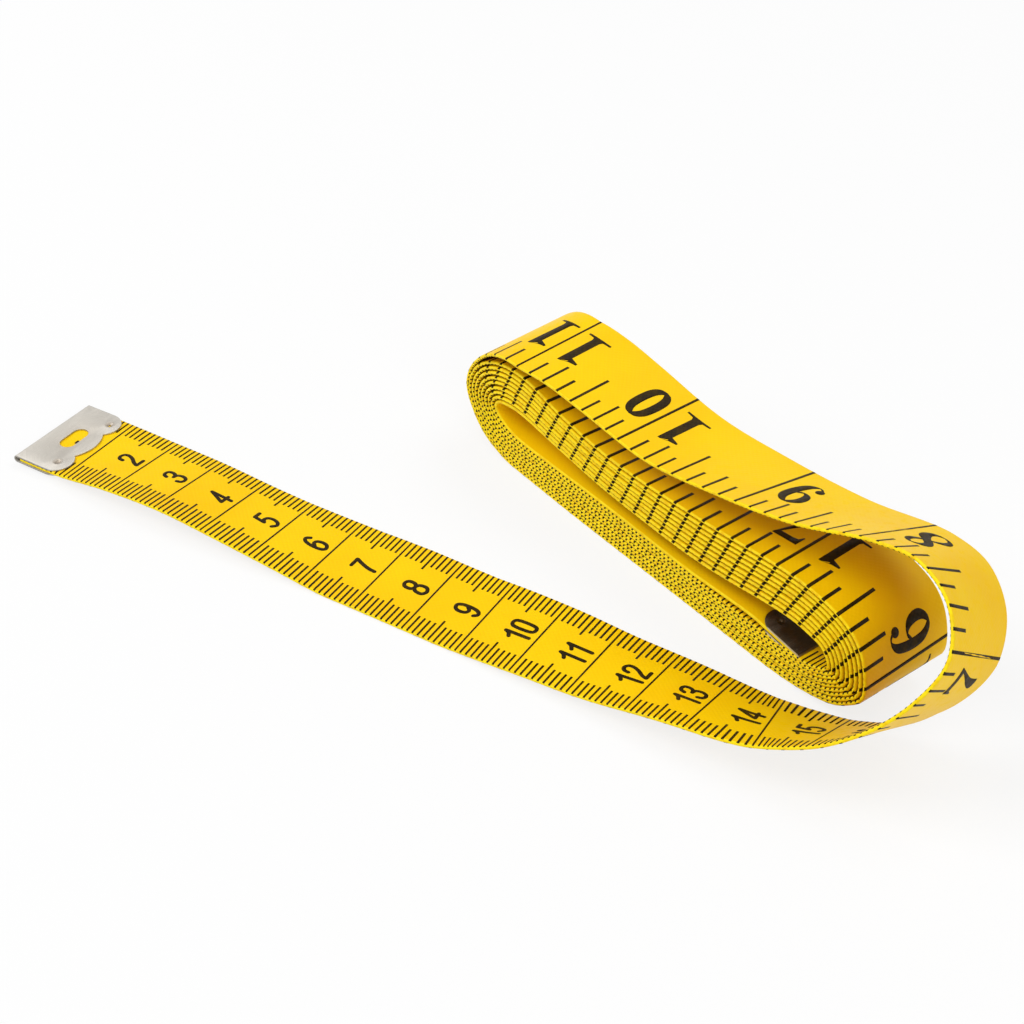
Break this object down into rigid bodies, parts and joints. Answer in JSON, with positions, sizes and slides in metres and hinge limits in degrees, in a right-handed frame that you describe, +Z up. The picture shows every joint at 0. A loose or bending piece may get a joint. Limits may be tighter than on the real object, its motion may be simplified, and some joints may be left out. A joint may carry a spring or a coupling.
{
  "type": "cloth tape measure",
  "caption": "Flexible dressmaker's tape measure with folded metal tips, rolled flat with its outer turn lifted into a free loop and the zero end laid out in front.",
  "frame": {"origin": "on the roll's flat underside, below the middle of the roll", "axes": "+X along the roll towards the free loop, +Y along the winding axis from the roll's near side, where the zero end lies, to its far side, +Z up"},
  "size_m": [0.1576, 0.088, 0.0346],
  "materials": {
    "tape": "vinyl-coated cloth, satin, printed scale",
    "tip": "plated sheet steel, worn satin"
  },
  "bodies": {
    "roll": {"tape_winding": "tape", "end_tip": "tip", "tape_lead": "tape", "tape_loop": "tape"},
    "tail_1": {"tape_tail_1": "tape"},
    "tail_2": {"tape_tail_2": "tape"},
    "tail_3": {"tape_tail_3": "tape"},
    "tail_4": {"tape_tail_4": "tape"},
    "tail_5": {"tape_tail_5": "tape", "start_tip": "tip"}
  },
  "joints": [
    {"name": "tail_bend_1", "type": "hinge", "parent": "roll", "child": "tail_1", "pos_m": [0.03791, -0.02362, 0.00259], "axis": [-0.3501, 0.9022, -0.252], "range_deg": [0, 35]},
    {"name": "tail_bend_2", "type": "hinge", "parent": "tail_1", "child": "tail_2", "pos_m": [0.0121, -0.03265, 0.00095], "axis": [-0.3301, 0.9423, -0.056], "range_deg": [0, 35]},
    {"name": "tail_bend_3", "type": "hinge", "parent": "tail_2", "child": "tail_3", "pos_m": [-0.01374, -0.0417, 0.00018], "axis": [-0.3309, 0.9437, 0.001], "range_deg": [0, 35]},
    {"name": "tail_bend_4", "type": "hinge", "parent": "tail_3", "child": "tail_4", "pos_m": [-0.03959, -0.05075, 0.00072], "axis": [-0.3331, 0.9412, -0.056], "range_deg": [0, 35]},
    {"name": "tail_bend_5", "type": "hinge", "parent": "tail_4", "child": "tail_5", "pos_m": [-0.06541, -0.05979, 0.00207], "axis": [-0.327, 0.9401, -0.096], "range_deg": [0, 35]}
  ]
}
